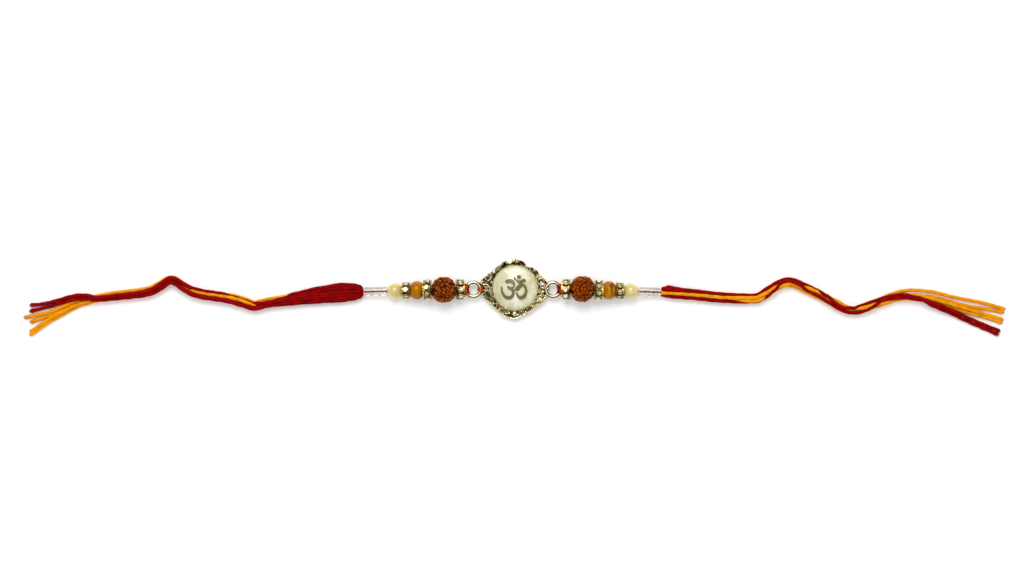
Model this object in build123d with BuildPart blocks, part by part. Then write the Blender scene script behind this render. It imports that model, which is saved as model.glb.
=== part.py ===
from build123d import *
from math import cos, hypot, radians, sin, sqrt, tan
import os

os.makedirs("parts", exist_ok=True)

# Rakhi thread bracelet in millimetres
# X runs along the bracelet, Y across it and Z up from the surface on which it lies
# The origin is the middle of the pendant's flat back, below the middle of the stone

# Pendant casting
frame_reach = 10.6
base_thickness = 1.6
relief_rise = 1.2
grain_share = 0.6
collar_wall = 0.45
collar_rise = 0.8
lug_radius = 1.3
lug_inset = 0.9

# Side rings, soldered to the casting
ring_radius = 2.05
ring_wire = 0.5
ring_height = 2.1
ring_standoff = {"left": 1.45, "right": 0.92}
ring_across = -0.4

# Stone
stone_radius = 6.5
stone_girdle = 0.9
stone_dome = 2.6
seat_depth = 0.6
seat_gap = 0.05

# Emblem on the stone
emblem_width = 7.7
emblem_rise = 0.35

# Spacer rings and their stones
rondelle_radius = {"inner": 3.0, "middle": 3.0, "outer": 2.5}
rondelle_stones = {"inner": 8, "middle": 8, "outer": 7}
rondelle_turn = {"inner": 0, "middle": 18, "outer": 9}
rondelle_length = 2.25
disc_thickness = 0.3
scallop_depth = 0.16
gem_gap = 0.1
gem_recess = 0.05
gem_crown = 0.22
gem_edge = 0.12
gem_pavilion = 0.45
gem_slope = 38

# Beads
rudraksha_length = 6.95
rudraksha_radius = 3.85
rudraksha_furrows = 5
furrow_depth = 0.45
furrow_width = 0.44
knob_radius = 0.75
knob_rise = 0.3
ochre_length = 3.75
ochre_radius = 2.7
ochre_end = 1.5
pearl_length = 4.4
pearl_radius = 2.33
glass_length = 2.15
glass_radius = 1.3
glass_round = 0.35
glass_count = 3
bore_radius = 0.5
seed_bore_radius = 0.75

# Stringing thread and its wrap round the side ring
thread_radius = 0.35
wrap_radius = 0.75
wrap_gap = 0.03
wrap_angle = 56
wrap_clear = 0.1
string_lift = 7.5
bead_gap = {"left": 0.1, "right": 0.06}

# Yarn tails
tail_radius = 1.4
yarn_radius = 0.45
lie_gap = 0.02
ring_of_ends = 0.98

# Outline of the casting: turn about the stone in degrees, reach as a share of frame_reach
# Each scallop is an arc from one point over the next to the one after it
outline_rows = [
    (0, 0.951), (10, 0.921), (19, 0.855), (28, 0.784), (38, 0.773), (49, 0.746),
    (61, 0.694), (71, 0.751), (81, 0.787), (90, 0.820), (100, 0.776), (108, 0.811),
    (121, 0.779), (136, 0.776), (148, 0.820), (159, 0.896), (168, 0.970), (177, 1.0),
    (183, 0.997), (191, 0.948), (203, 0.858), (218, 0.803), (231, 0.790), (245, 0.836),
    (261, 0.847), (272, 0.866), (283, 0.795), (299, 0.795), (314, 0.765), (328, 0.828),
    (337, 0.896), (347, 0.896),
]

# Raised leaves of the casting, placed and sized as shares of frame_reach
# Columns are the place along X, the place along Y, length, width, turn in degrees, share of relief_rise
leaf_rows = [
    (-0.775, 0.255, 0.30, 0.18, 38, 0.8),
    (-0.800, 0.100, 0.26, 0.14, -8, 1.0),
    (-0.750, -0.045, 0.26, 0.14, -35, 1.0),
    (-0.715, -0.210, 0.30, 0.18, -48, 0.8),
    (-0.560, 0.440, 0.30, 0.12, 44, 0.8),
    (-0.395, 0.605, 0.30, 0.13, 38, 0.9),
    (-0.170, 0.725, 0.26, 0.13, 14, 1.0),
    (0.190, 0.720, 0.26, 0.15, -28, 1.0),
    (0.440, 0.525, 0.20, 0.15, -42, 0.9),
    (0.570, 0.440, 0.22, 0.14, -52, 0.8),
    (0.745, 0.225, 0.28, 0.19, -30, 1.0),
    (0.765, 0.000, 0.26, 0.18, 0, 1.0),
    (0.720, -0.235, 0.28, 0.18, 35, 0.9),
    (0.545, -0.450, 0.26, 0.14, 44, 0.9),
    (0.390, -0.600, 0.24, 0.14, 36, 1.0),
    (0.180, -0.715, 0.24, 0.13, 16, 0.9),
    (-0.165, -0.725, 0.24, 0.13, -16, 0.9),
    (-0.330, -0.640, 0.24, 0.14, -34, 1.0),
]

# Round grains between the leaves, placed and sized as shares of frame_reach
# Columns are the place along X, the place along Y, radius
grain_rows = [
    (-0.930, 0.110, 0.045),
    (-0.910, -0.180, 0.052),
    (-0.655, 0.160, 0.050),
    (-0.600, -0.355, 0.062),
    (-0.510, -0.480, 0.062),
    (0.040, 0.770, 0.070),
    (0.860, 0.120, 0.050),
    (0.010, -0.780, 0.070),
    (0.640, -0.340, 0.045),
]

# Emblem strokes: place along X, place along Y and half width, as shares of emblem_width
bow_rows = [
    (-0.343, 0.224, 0.050), (-0.278, 0.253, 0.066), (-0.188, 0.266, 0.070),
    (-0.106, 0.237, 0.072), (-0.047, 0.178, 0.050), (-0.028, 0.108, 0.028),
    (-0.056, 0.042, 0.024), (-0.105, 0.008, 0.026),
]
knob_rows = [
    (-0.276, 0.075, 0.014), (-0.236, 0.016, 0.046), (-0.180, -0.018, 0.060),
    (-0.115, -0.010, 0.048), (-0.062, 0.038, 0.022),
]
bowl_rows = [
    (-0.160, -0.042, 0.030), (-0.092, -0.088, 0.046), (-0.064, -0.160, 0.048),
    (-0.074, -0.250, 0.052), (-0.135, -0.336, 0.060), (-0.237, -0.372, 0.060),
    (-0.351, -0.344, 0.052), (-0.433, -0.262, 0.042), (-0.490, -0.136, 0.030),
    (-0.508, -0.021, 0.025), (-0.507, 0.056, 0.012),
]
diagonal_rows = [
    (0.262, 0.256, 0.050), (0.204, 0.166, 0.052), (0.139, 0.068, 0.052),
    (0.070, -0.014, 0.050), (0.012, -0.072, 0.030), (-0.062, -0.099, 0.016),
]
swirl_rows = [
    (0.060, -0.088, 0.012), (0.140, -0.046, 0.034), (0.204, 0.052, 0.044),
    (0.290, 0.118, 0.042), (0.368, 0.068, 0.042), (0.416, -0.022, 0.038),
    (0.424, -0.127, 0.042), (0.396, -0.234, 0.052), (0.330, -0.324, 0.060),
    (0.237, -0.368, 0.062), (0.155, -0.348, 0.052), (0.094, -0.266, 0.036),
    (0.053, -0.164, 0.012),
]
crescent_rows = [
    (-0.030, 0.396, 0.030), (0.008, 0.340, 0.024), (0.052, 0.288, 0.028),
    (0.112, 0.254, 0.036), (0.190, 0.240, 0.044), (0.270, 0.260, 0.050),
    (0.336, 0.290, 0.060), (0.388, 0.264, 0.036),
]
emblem_strokes = [bow_rows, knob_rows, bowl_rows, diagonal_rows, swirl_rows, crescent_rows]
dot_place = (0.143, 0.420)
dot_width = 0.165
dot_height = 0.130

# Routes of the yarn tails, chosen point by point: X and Y on the surface, then the width of the head
head_stations = {
    "left": [(-49.6, -1.16, 5.8), (-56.5, -1.95, 5.2), (-63.5, -2.9, 4.2), (-70.6, -3.95, 2.8)],
    "right": [(45.2, -1.4, 3.9), (49.5, -1.75, 3.4), (54.0, -2.1, 2.8)],
}
head_starts = {"left": 4.3, "right": 2.9}
head_across = {"left": -1.1, "right": -1.25}
tail_routes = {
    "left": [
        (-70.6, -3.95), (-75.4, -5.15), (-83.2, -2.75), (-93.3, -1.55),
        (-99.6, 2.65), (-105.5, -1.0), (-113.0, -1.95), (-120.3, -2.6),
    ],
    "right": [
        (54.0, -2.1), (58.8, -2.75), (64.6, -3.05), (70.0, -3.15), (74.4, -0.2), (79.1, 2.25),
        (84.0, 0.1), (90.0, -2.75), (97.3, -7.2), (104.0, -4.75), (112.6, -1.75), (117.0, -2.55),
    ],
}

# Loose ends: name, place in the bundle in degrees or the middle, then a middle point and the tip
end_routes = {
    "left": [
        ("red_end_1", 18, (-130.5, -3.1, 1.2), (-140.5, -4.93, 0.47)),
        ("red_end_2", -54, (-130.5, -4.2, 0.5), (-140.5, -6.67, 0.47)),
        ("yellow_end_1", 90, (-130.5, -4.9, 1.95), (-142.1, -8.41, 0.47)),
        ("yellow_end_2", None, (-130.5, -5.6, 1.0), (-140.2, -9.86, 0.47)),
        ("yellow_end_3", -126, (-130.5, -6.4, 0.5), (-140.3, -12.0, 0.47)),
        ("yellow_end_4", 162, (-130.5, -7.35, 1.0), (-140.5, -13.7, 0.47)),
    ],
    "right": [
        ("yellow_end_1", 18, (128.5, -3.3, 1.2), (141.8, -6.1, 0.47)),
        ("yellow_end_2", -54, (128.5, -4.4, 0.5), (141.5, -7.2, 0.47)),
        ("yellow_end_3", 90, (128.5, -5.2, 1.95), (141.2, -9.3, 0.47)),
        ("yellow_end_4", None, (128.5, -6.1, 1.0), (140.6, -10.6, 0.47)),
        ("red_end_1", -126, (128.5, -7.3, 0.5), (140.2, -12.4, 0.47)),
        ("red_end_2", 162, (128.5, -8.2, 1.0), (139.8, -13.7, 0.47)),
    ],
}
end_lead = 3.2

# Values that follow from the sizes above
seat_floor = base_thickness - seat_depth
girdle_floor = seat_floor + seat_gap
dome_radius = (stone_radius**2 + stone_dome**2) / (2 * stone_dome)
dome_top = girdle_floor + stone_girdle + stone_dome
dome_centre = dome_top - dome_radius
collar_inner = stone_radius + seat_gap
tip_reach = {"left": frame_reach, "right": frame_reach * outline_rows[0][1]}
ring_places = {side: tip_reach[side] + ring_standoff[side] for side in tip_reach}
tail_height = tail_radius + lie_gap


def keep(piece, name):
    piece.part.label = name
    export_step(piece.part, f"parts/{name}.step")


def on_frame(along, across):
    return (along * frame_reach, across * frame_reach)


def arc_radii(points):
    # Each bend takes 0.45 of the shorter run beside it
    radii = []
    for before, corner, after in zip(points, points[1:], points[2:]):
        into = Vector(*corner) - Vector(*before)
        out = Vector(*after) - Vector(*corner)
        half_turn = radians(into.get_angle(out) / 2)
        radii.append(0.45 * min(into.length, out.length) / tan(half_turn))
    return radii


def tube(points, radius, name):
    radii = arc_radii(points)
    with BuildPart() as piece:
        with BuildLine() as route:
            FilletPolyline(*points, radius=radii)
        line = route.wire()
        with BuildSketch(Plane(origin=line @ 0, z_dir=line % 0)):
            Circle(radius)
        sweep()
    exact = 3.141593 * radius**2 * line.length
    turns = ", ".join(f"{value:.1f}" for value in radii)
    print(f"{name}: length {line.length:.1f}, radii {turns}, volume {piece.part.volume / exact:.4f} of section")
    return piece


# Raised leaves and grains of the casting
relief = []
for along, across, length, width, turn, rise in leaf_rows:
    half_length = length * frame_reach / 2
    half_width = width * frame_reach / 2
    with BuildPart() as leaf:
        with BuildSketch():
            with BuildLine():
                EllipticalCenterArc((0, 0), half_length, half_width, start_angle=0, arc_size=180)
                Line((-half_length, 0), (half_length, 0))
            make_face()
        revolve(axis=Axis.X)
    height = base_thickness + rise * relief_rise - half_width
    relief.append(leaf.part.moved(Location((*on_frame(along, across), height), (0, 0, turn))))
for along, across, radius in grain_rows:
    with BuildPart() as grain:
        with Locations((*on_frame(along, across), base_thickness + grain_share * radius * frame_reach)):
            Sphere(radius * frame_reach)
    relief.append(grain.part)

# Pendant casting with its relief, collar, lugs and side rings
outline_points = [
    (frame_reach * share * cos(radians(turn)), frame_reach * share * sin(radians(turn)))
    for turn, share in outline_rows
]
with BuildPart() as pendant_frame:
    with BuildSketch():
        with BuildLine():
            for index in range(0, len(outline_points), 2):
                after = outline_points[(index + 2) % len(outline_points)]
                ThreePointArc(outline_points[index], outline_points[index + 1], after)
        make_face()
    extrude(amount=base_thickness)
    with BuildSketch(Plane.XY.offset(seat_floor)):
        Circle(collar_inner + collar_wall)
    extrude(amount=seat_depth + collar_rise)
    for side, sign in (("left", -1), ("right", 1)):
        with BuildSketch(Plane.XY.offset(base_thickness / 2)):
            with Locations((sign * (tip_reach[side] - lug_inset), ring_across)):
                Circle(lug_radius)
        extrude(amount=ring_height - base_thickness / 2)
        with Locations((sign * ring_places[side], ring_across, ring_height)):
            Torus(ring_radius, ring_wire)
    add(relief, clean=False)
    with BuildSketch(Plane.XY.offset(seat_floor)):
        Circle(collar_inner)
    extrude(amount=dome_top, mode=Mode.SUBTRACT)
keep(pendant_frame, "pendant_frame")

# Stone
with BuildPart() as cabochon:
    with BuildSketch(Plane.XZ):
        with BuildLine():
            Polyline((0, dome_top), (0, girdle_floor), (stone_radius, girdle_floor),
                     (stone_radius, girdle_floor + stone_girdle))
            RadiusArc((stone_radius, girdle_floor + stone_girdle), (0, dome_top), -dome_radius)
        make_face()
    revolve(axis=Axis.Z)
keep(cabochon, "cabochon")


def brush(rows):
    # Closed outline that runs along one side of the stroke, round its end and back along the other
    points = [(x * emblem_width, y * emblem_width, half * emblem_width) for x, y, half in rows]
    near = []
    far = []
    for index, (x, y, half) in enumerate(points):
        before = points[max(index - 1, 0)]
        after = points[min(index + 1, len(points) - 1)]
        run = hypot(after[0] - before[0], after[1] - before[1])
        side_x = -(after[1] - before[1]) / run
        side_y = (after[0] - before[0]) / run
        near.append((x + side_x * half, y + side_y * half))
        far.append((x - side_x * half, y - side_y * half))
    return near + far[::-1]


# Emblem, raised above the dome
with BuildPart() as om_emblem:
    for rows in emblem_strokes:
        with BuildSketch(Plane.XY.offset(dome_centre)):
            with BuildLine():
                Spline(*brush(rows), periodic=True)
            make_face()
        extrude(amount=dome_radius + 1)
    with Locations((0, 0, dome_centre)):
        Sphere(dome_radius + seat_gap + emblem_rise, mode=Mode.INTERSECT)
        Sphere(dome_radius + seat_gap, mode=Mode.SUBTRACT)
keep(om_emblem, "om_emblem")

with BuildPart() as om_dot:
    with BuildSketch(Plane.XY.offset(dome_centre)):
        with Locations((dot_place[0] * emblem_width, dot_place[1] * emblem_width)):
            Ellipse(dot_width * emblem_width / 2, dot_height * emblem_width / 2)
    extrude(amount=dome_radius + 1)
    with Locations((0, 0, dome_centre)):
        Sphere(dome_radius + seat_gap + emblem_rise, mode=Mode.INTERSECT)
        Sphere(dome_radius + seat_gap, mode=Mode.SUBTRACT)
keep(om_dot, "om_dot")


def rondelle_metal(radius, stones, turn):
    lobe = radius * sin(radians(180 / stones))
    slot = rondelle_length - 2 * disc_thickness
    core_radius = radius - gem_recess - gem_crown - gem_edge - gem_pavilion - gem_gap
    with BuildPart() as piece:
        for floor in (-rondelle_length / 2, rondelle_length / 2 - disc_thickness):
            with BuildSketch(Plane.XY.offset(floor)):
                Circle(radius - scallop_depth)
                with PolarLocations(radius - lobe * 0.6, stones, start_angle=turn):
                    Circle(lobe * 0.6)
            extrude(amount=disc_thickness)
        with BuildSketch(Plane.XY.offset(-slot / 2)):
            Circle(core_radius)
        extrude(amount=slot)
        with BuildSketch(Plane.XY.offset(-rondelle_length / 2)):
            Circle(bore_radius)
        extrude(amount=rondelle_length, mode=Mode.SUBTRACT)
    return piece


def rondelle_gems(radius, stones, turn):
    # Eight-sided cut stones with a table, a girdle and a pavilion that points at the bore
    girdle = (rondelle_length - 2 * disc_thickness) / 2 - gem_gap
    with BuildPart(mode=Mode.PRIVATE) as gem:
        with BuildSketch(Plane.XY.offset(-gem_edge)):
            RegularPolygon(girdle, 8, major_radius=False)
        extrude(amount=gem_edge)
        with BuildSketch():
            RegularPolygon(girdle, 8, major_radius=False)
        extrude(amount=gem_crown, taper=gem_slope)
        with BuildSketch(Plane.XY.offset(-gem_edge)):
            RegularPolygon(girdle, 8, major_radius=False)
        extrude(amount=-gem_pavilion, taper=gem_slope)
    with BuildPart() as piece:
        for index in range(stones):
            around = radians(turn + 360 * index / stones)
            out = Vector(cos(around), sin(around), 0)
            seat = Plane(origin=out * (radius - gem_recess - gem_crown), x_dir=(0, 0, 1), z_dir=out)
            with Locations(seat):
                add(gem.part)
    return piece


# Seed bead, with its furrows from pole to pole and knobs between them
with BuildPart() as seed_form:
    with BuildSketch(Plane.XZ):
        with BuildLine():
            half_round = EllipticalCenterArc(
                (0, 0), rudraksha_radius - knob_rise, rudraksha_length / 2, start_angle=-90, arc_size=180
            )
            Line(half_round @ 1, half_round @ 0)
        make_face()
    revolve(axis=Axis.Z)
    for index in range(rudraksha_furrows):
        around = radians(90 + 360 * index / rudraksha_furrows)
        cut_plane = Plane(origin=(0, 0, 0), x_dir=(cos(around), sin(around), 0),
                          z_dir=(sin(around), -cos(around), 0))
        with BuildSketch(cut_plane):
            with BuildLine():
                outer = EllipticalCenterArc(
                    (0, 0), rudraksha_radius + 1, rudraksha_length / 2 + 1, start_angle=-75, arc_size=150
                )
                inner = EllipticalCenterArc(
                    (0, 0), rudraksha_radius - knob_rise - furrow_depth,
                    rudraksha_length / 2 - furrow_depth, start_angle=-75, arc_size=150
                )
                Line(outer @ 0, inner @ 0)
                Line(outer @ 1, inner @ 1)
            make_face()
        extrude(amount=furrow_width / 2, both=True, mode=Mode.SUBTRACT)
    for level, per_lobe in ((-0.6, 1), (-0.2, 2), (0.2, 2), (0.6, 1)):
        height = level * rudraksha_length / 2
        reach = (rudraksha_radius - knob_radius) * sqrt(1 - level**2)
        for index in range(rudraksha_furrows):
            for knob in range(per_lobe):
                share = index + (knob + 1) / (per_lobe + 1)
                around = radians(90 + 360 * share / rudraksha_furrows)
                with Locations((reach * cos(around), reach * sin(around), height)):
                    Sphere(knob_radius)

# Turned beads, each shaped once about its own bore
with BuildPart() as ochre_form:
    with BuildSketch(Plane.XZ):
        with BuildLine():
            Polyline((ochre_end, ochre_length / 2), (bore_radius, ochre_length / 2),
                     (bore_radius, -ochre_length / 2), (ochre_end, -ochre_length / 2))
            ThreePointArc((ochre_end, -ochre_length / 2), (ochre_radius, 0), (ochre_end, ochre_length / 2))
        make_face()
    revolve(axis=Axis.Z)

with BuildPart() as pearl_form:
    with BuildSketch(Plane.XZ):
        with BuildLine():
            Line((bore_radius, pearl_length / 2), (bore_radius, -pearl_length / 2))
            ThreePointArc((bore_radius, -pearl_length / 2), (pearl_radius, 0), (bore_radius, pearl_length / 2))
        make_face()
    revolve(axis=Axis.Z)

with BuildPart() as glass_form:
    with BuildSketch(Plane.XY.offset(-glass_length / 2)):
        Circle(glass_radius)
        Circle(bore_radius, mode=Mode.SUBTRACT)
    extrude(amount=glass_length)
    rim_edges = glass_form.edges().filter_by(GeomType.CIRCLE).filter_by(lambda edge: edge.radius > bore_radius * 1.5)
    fillet(rim_edges, glass_round)

rondelle_forms = {}
gem_forms = {}
for place in ("inner", "middle", "outer"):
    values = (rondelle_radius[place], rondelle_stones[place], rondelle_turn[place])
    rondelle_forms[place] = rondelle_metal(*values)
    gem_forms[place] = rondelle_gems(*values)


def placed(form, centre, way, name):
    # Sets a form on the string with its own Z along the string and its own X upwards
    with BuildPart() as piece:
        with Locations(Plane(origin=centre, x_dir=(0, 0, 1), z_dir=way)):
            add(form.part)
    keep(piece, name)


for side, sign in (("left", -1), ("right", 1)):
    gap = bead_gap[side]
    lift = radians(string_lift)

    # Start of the string beside the wrap, and its bend inside the seed bead
    first_run = rondelle_length + gap + rudraksha_length / 2
    face_height = rudraksha_radius - first_run * sin(lift)
    wire_out = ring_places[side] + ring_radius
    wrap_out = wire_out + wrap_radius + wrap_clear
    face_out = wrap_out - (face_height - ring_height) * tan(lift)
    bend = Vector(sign * (face_out + first_run * cos(lift)), ring_across, rudraksha_radius)
    inner_way = Vector(-sign * cos(lift), 0, -sin(lift))

    # From the seed bead the string falls to the tail's own height
    run = (
        rudraksha_length / 2 + 2 * rondelle_length + ochre_length + pearl_length
        + glass_count * glass_length + (5 + glass_count) * gap
    )
    shift = head_across[side] - ring_across
    fall = tail_height - rudraksha_radius
    outer_way = Vector(sign * sqrt(run**2 - shift**2 - fall**2), shift, fall) / run
    string_end = bend + outer_way * run

    # Beads towards the ring
    centre = bend + inner_way * (rudraksha_length / 2 + gap + rondelle_length / 2)
    placed(rondelle_forms["inner"], centre, inner_way * -1, f"rondelle_inner_{side}")
    placed(gem_forms["inner"], centre, inner_way * -1, f"stones_inner_{side}")

    # Seed bead, turned half way between the two directions of the string and bored along both
    with BuildPart() as rudraksha:
        with Locations(Plane(origin=bend, x_dir=(0, 0, 1), z_dir=outer_way - inner_way)):
            add(seed_form.part)
        for way in (inner_way, outer_way):
            with BuildSketch(Plane(origin=bend, z_dir=way)):
                Circle(seed_bore_radius)
            extrude(amount=rudraksha_length, mode=Mode.SUBTRACT)
        with Locations(bend):
            Sphere(seed_bore_radius, mode=Mode.SUBTRACT)
    keep(rudraksha, f"rudraksha_{side}")

    # Beads towards the tail
    reach = rudraksha_length / 2
    outer_beads = [
        (rondelle_forms["middle"], rondelle_length, f"rondelle_middle_{side}"),
        (ochre_form, ochre_length, f"ochre_bead_{side}"),
        (rondelle_forms["outer"], rondelle_length, f"rondelle_outer_{side}"),
        (pearl_form, pearl_length, f"pearl_{side}"),
    ]
    for index in range(glass_count):
        outer_beads.append((glass_form, glass_length, f"glass_bead_{index + 1}_{side}"))
    for form, length, name in outer_beads:
        centre = bend + outer_way * (reach + gap + length / 2)
        placed(form, centre, outer_way, name)
        if name.startswith("rondelle"):
            place = name.split("_")[1]
            placed(gem_forms[place], centre, outer_way, f"stones_{place}_{side}")
        reach += gap + length

    # Stringing thread from the ring to the tail, with its wrap round the ring
    start = bend + inner_way * ((bend.X * sign - wire_out) / cos(lift))
    thread_points = [tuple(start), tuple(bend), tuple(string_end)]
    thread = tube(thread_points, thread_radius, f"bead_thread_{side}")
    with BuildPart() as bead_thread:
        add(thread.part)
        ring_centre = (sign * ring_places[side], ring_across, ring_height)
        facing = -wrap_angle / 2 if side == "right" else 180 - wrap_angle / 2
        with Locations(Location(ring_centre, (0, 0, facing))):
            Torus(ring_radius, wrap_radius, major_angle=wrap_angle, align=None)
        with Locations(ring_centre):
            Torus(ring_radius, ring_wire + wrap_gap, mode=Mode.SUBTRACT)
    keep(bead_thread, f"bead_thread_{side}")

    # Head of the tail, lofted along its stations
    stations = [(string_end, outer_way, head_starts[side])]
    rows = head_stations[side]
    for index, (x, y, width) in enumerate(rows):
        ahead = tail_routes[side][1] if index == len(rows) - 1 else rows[index + 1]
        behind = (x, y) if index == len(rows) - 1 else (rows[index - 1] if index else tuple(string_end))
        heading = Vector(ahead[0] - behind[0], ahead[1] - behind[1], 0).normalized()
        stations.append((Vector(x, y, tail_height), heading, width))
    with BuildPart() as head:
        for point, heading, width in stations:
            with BuildSketch(Plane(origin=point, x_dir=(0, 0, 1), z_dir=heading)):
                Ellipse(tail_radius, width / 2)
        loft()
    keep(head, f"tail_head_{side}")

    # Compact bundle of the tail
    route = [(x, y, tail_height) for x, y in tail_routes[side]]
    bundle = tube(route, tail_radius, f"tail_{side}")
    keep(bundle, f"tail_{side}")

    # Loose ends, which leave the flat end of the bundle side by side
    last = Vector(*route[-1])
    heading = (last - Vector(*route[-2])).normalized()
    across = Vector(-heading.Y * sign, heading.X * sign, 0)
    for name, place, middle, tip in end_routes[side]:
        start = last
        if place is not None:
            spread = radians(place)
            start = last + across * (ring_of_ends * cos(spread)) + Vector(0, 0, ring_of_ends * sin(spread))
        lead = start + heading * end_lead
        loose = tube([tuple(start), tuple(lead), middle, tip], yarn_radius, f"{name}_{side}")
        keep(loose, f"{name}_{side}")
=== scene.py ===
import bmesh
import bpy
import math
import numpy as np
import random
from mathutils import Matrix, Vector, noise


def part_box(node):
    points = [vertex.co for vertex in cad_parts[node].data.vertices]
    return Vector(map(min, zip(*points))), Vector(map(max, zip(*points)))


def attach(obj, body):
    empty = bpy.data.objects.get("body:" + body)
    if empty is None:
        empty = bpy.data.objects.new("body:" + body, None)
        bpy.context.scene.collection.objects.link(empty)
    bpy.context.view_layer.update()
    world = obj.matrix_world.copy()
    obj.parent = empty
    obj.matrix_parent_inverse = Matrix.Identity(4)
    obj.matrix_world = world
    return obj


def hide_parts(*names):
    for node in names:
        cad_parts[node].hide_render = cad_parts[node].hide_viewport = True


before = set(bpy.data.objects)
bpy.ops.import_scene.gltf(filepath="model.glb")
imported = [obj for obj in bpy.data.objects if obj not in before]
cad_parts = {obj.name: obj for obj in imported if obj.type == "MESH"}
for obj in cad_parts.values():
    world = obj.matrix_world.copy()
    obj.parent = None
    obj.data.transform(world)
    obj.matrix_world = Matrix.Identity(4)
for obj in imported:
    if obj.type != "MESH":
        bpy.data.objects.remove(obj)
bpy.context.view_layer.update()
mm = 0.001
full_turn = 2 * math.pi
up = Vector((0, 0, 1))
sides = {"left": -1, "right": 1}
chance = random.Random(7)
noise.seed_set(7)

# Camera straight above, with the picture's top towards +Y
camera_data = bpy.data.cameras.new("camera")
camera_data.lens = 100
camera_data.clip_start = 0.01
camera_data.clip_end = 10
camera = bpy.data.objects.new("camera", camera_data)
camera.location = (-0.00087, 0, 0.8264)
bpy.context.collection.objects.link(camera)
bpy.context.scene.camera = camera


def keyed(rows, at):
    """Value of given rows (place, value, ...) at a place, eased from row to row"""
    if at <= rows[0][0]:
        return rows[0][1:]
    for low, high in zip(rows, rows[1:]):
        if at <= high[0]:
            share = (at - low[0]) / (high[0] - low[0])
            share = share * share * (3 - 2 * share)
            return tuple(a + (b - a) * share for a, b in zip(low[1:], high[1:]))
    return rows[-1][1:]


def nurbs_line(points):
    """Points read from the smooth curve that has these control points, in metres"""
    data = bpy.data.curves.new("route", "CURVE")
    data.dimensions = "3D"
    data.resolution_u = 32
    spline = data.splines.new("NURBS")
    spline.points.add(len(points) - 1)
    for control, point in zip(spline.points, points):
        control.co = (*point, 1)
    spline.order_u = 3
    spline.use_endpoint_u = True
    route = bpy.data.objects.new("route", data)
    bpy.context.collection.objects.link(route)
    mesh = bpy.data.meshes.new_from_object(route)
    line = [vertex.co.copy() for vertex in mesh.vertices]
    bpy.data.meshes.remove(mesh)
    bpy.data.objects.remove(route)
    bpy.data.curves.remove(data)
    return line


def evenly(line, step):
    """The same line with its points a step apart"""
    lengths = [0.0]
    for a, b in zip(line, line[1:]):
        lengths.append(lengths[-1] + (b - a).length)
    count = max(2, round(lengths[-1] / step))
    points = []
    index = 0
    for number in range(count + 1):
        want = lengths[-1] * number / count
        while index < len(lengths) - 2 and lengths[index + 1] < want:
            index += 1
        run = lengths[index + 1] - lengths[index]
        share = (want - lengths[index]) / run if run else 0
        points.append(line[index].lerp(line[index + 1], min(max(share, 0), 1)))
    return points


def frames_along(line):
    """Tangent and two cross directions at each point, carried along without a jump"""
    tangents = []
    for index in range(len(line)):
        before = line[max(index - 1, 0)]
        after = line[min(index + 1, len(line) - 1)]
        tangents.append((after - before).normalized())
    side = tangents[0].cross(up)
    if side.length < 0.1:
        side = tangents[0].cross(Vector((0, 1, 0)))
    side.normalize()
    result = []
    for tangent in tangents:
        side = (side - tangent * side.dot(tangent)).normalized()
        result.append((tangent, side, tangent.cross(side)))
    return result


def sideways(tangent):
    """Level direction across a line, on the side towards +Y"""
    across = Vector((-tangent.y, tangent.x, 0)).normalized()
    return across if tangent.x > 0 else -across


def spoke(one, two, angle):
    """Direction at an angle from the first of two cross directions towards the second"""
    return one * math.cos(angle) + two * math.sin(angle)


def quads(first, rings, around, closed=False):
    """Corners of the faces over rings of points: two on one ring, then the two next to them on the next"""
    for ring in range(rings if closed else rings - 1):
        low = first + ring * around
        high = first + (ring + 1) % rings * around
        for step in range(around):
            after = (step + 1) % around
            yield low + step, low + after, high + after, high + step


def piece_from(name, vertices, faces, uvs=None):
    """Smooth mesh object that rides on the object's one body"""
    mesh = bpy.data.meshes.new(name)
    mesh.from_pydata(vertices, [], faces)
    if uvs is not None:
        layer = mesh.uv_layers.new(name="along")
        for loop in mesh.loops:
            layer.data[loop.index].uv = uvs[loop.vertex_index]
    mesh.polygons.foreach_set("use_smooth", [True] * len(mesh.polygons))
    mesh.update()
    piece = bpy.data.objects.new(name, mesh)
    bpy.context.collection.objects.link(piece)
    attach(piece, "root")
    return piece


def set_values(piece, label, values):
    """Stores one value for each vertex, for a material to read"""
    layer = piece.data.attributes.new(label, "FLOAT", "POINT")
    layer.data.foreach_set("value", values)


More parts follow.
